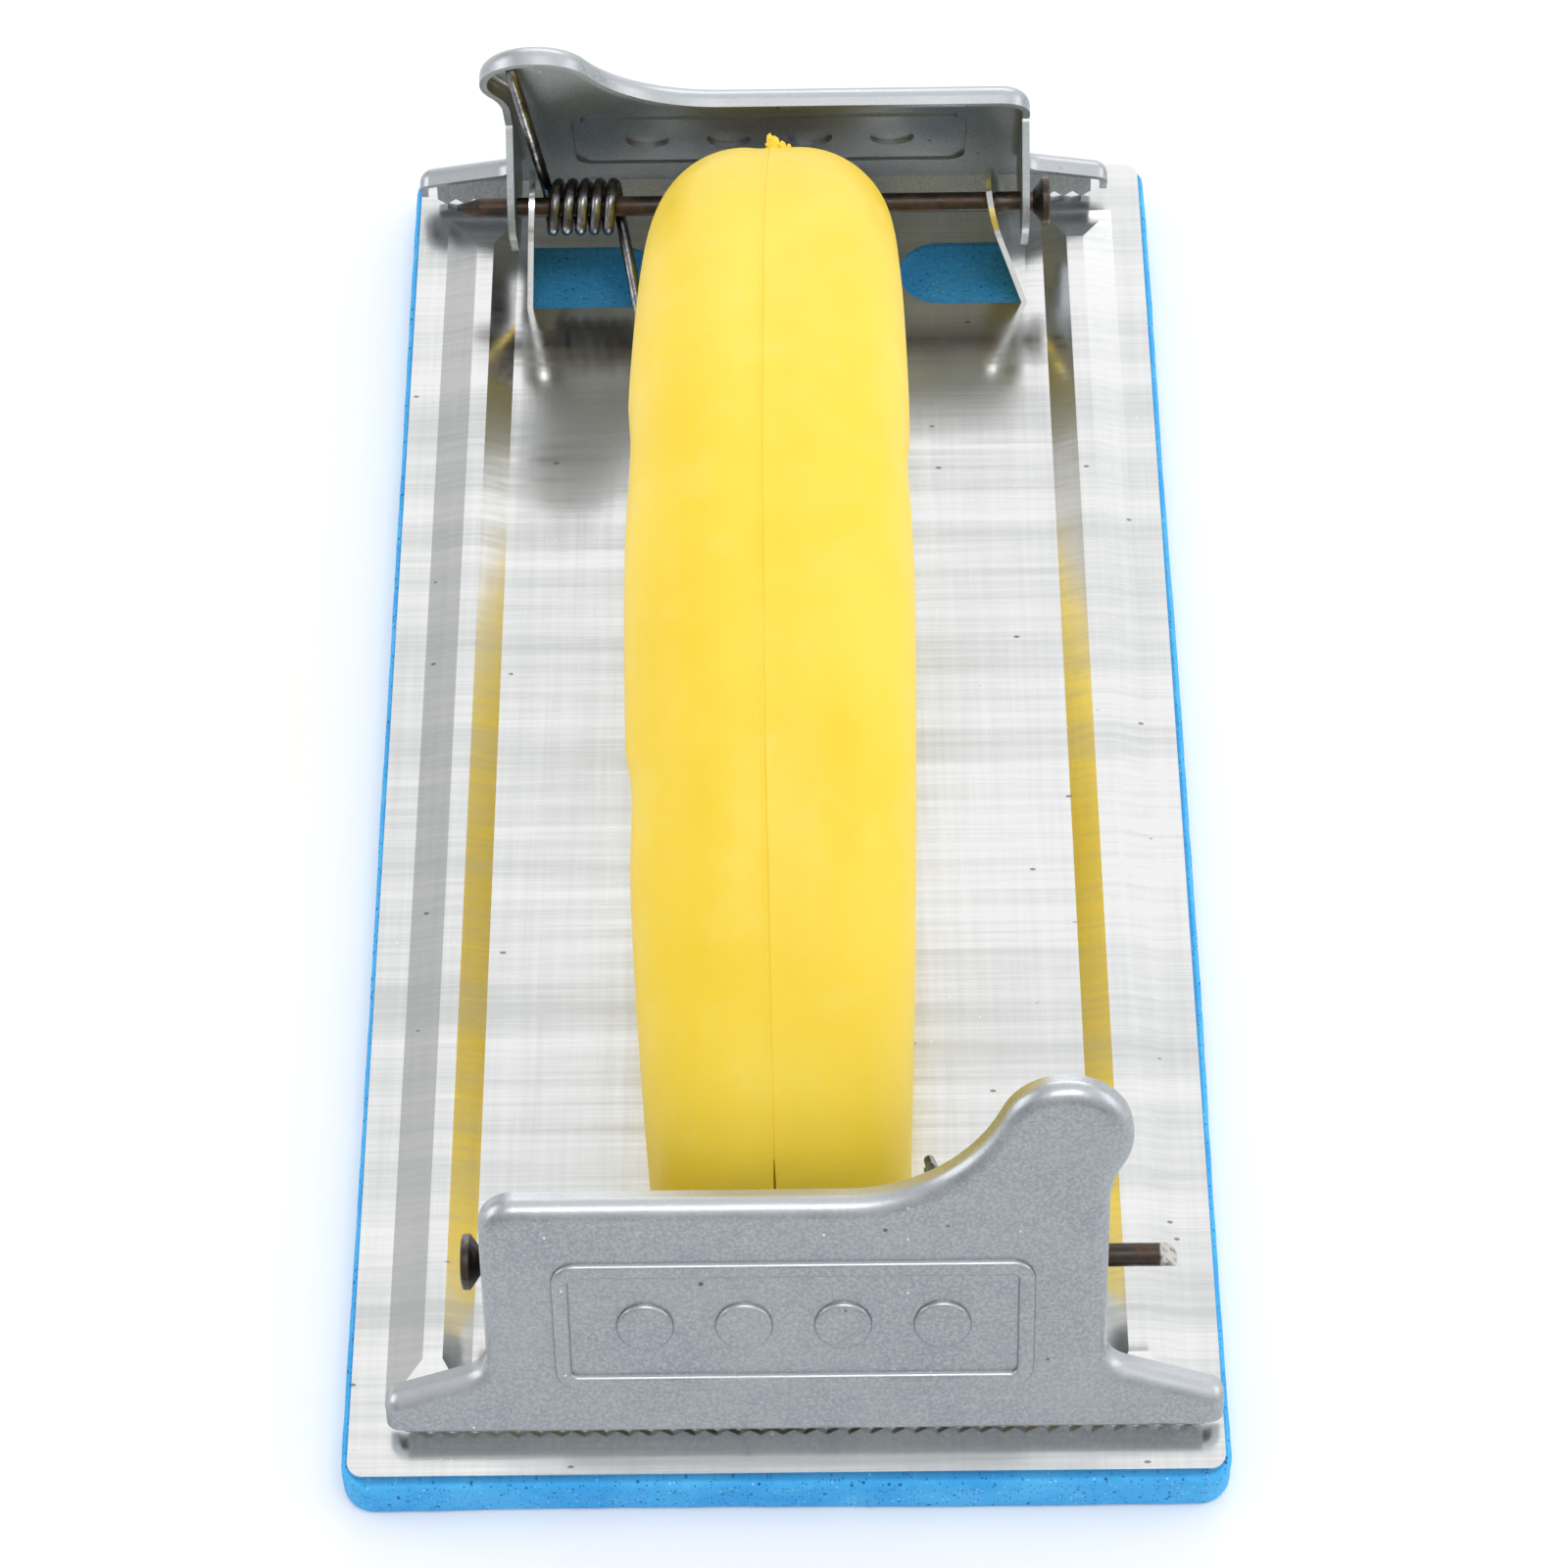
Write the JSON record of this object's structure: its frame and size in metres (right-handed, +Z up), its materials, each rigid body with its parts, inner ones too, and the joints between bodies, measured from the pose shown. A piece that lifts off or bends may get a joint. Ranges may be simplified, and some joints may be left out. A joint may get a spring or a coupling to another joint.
{
  "type": "hand sanding board with sprung paper clamps",
  "caption": "Hand sanding board: sheet-metal base on a foam pad, hollow bow handle, and a sprung paper clamp hinged on a nail at each end.",
  "frame": {"origin": "centre of the foam pad's underside, the face that works and rests", "axes": "+Z up out of the base, +Y along the board towards the far clamp, +X towards the near clamp's thumb tab"},
  "size_m": [0.1074, 0.213, 0.074],
  "materials": {
    "foam": "closed-cell sponge, speckled and pored",
    "plate": "bright rolled sheet with faint cross marks and scratches",
    "handle": "waxy moulded plastic with a centre seam",
    "clamp": "dull galvanised pressing, pitted and worn",
    "pin": "dark nail, lightly rusted, head worn bright",
    "spring": "drawn spring wire, oiled"
  },
  "bodies": {
    "board": {"base_plate": "plate", "foam_pad": "foam", "handle": "handle", "near_hinge_pin": "pin", "far_hinge_pin": "pin", "near_spring": "spring", "far_spring": "spring"},
    "near_clamp_body": {"near_clamp": "clamp"},
    "far_clamp_body": {"far_clamp": "clamp"}
  },
  "joints": [
    {"name": "near_clamp_hinge", "type": "hinge", "parent": "board", "child": "near_clamp_body", "pos_m": [0, -0.0843, 0.0228], "axis": [-1, 0, 0], "range_deg": [0, 21], "stiffness_Nm_per_rad": 0.25, "springref_deg": -28.65, "deforming": ["near_spring"]},
    {"name": "far_clamp_hinge", "type": "hinge", "parent": "board", "child": "far_clamp_body", "pos_m": [0, 0.0843, 0.0228], "axis": [1, 0, 0], "range_deg": [0, 21], "stiffness_Nm_per_rad": 0.25, "springref_deg": -28.65, "deforming": ["far_spring"]}
  ]
}
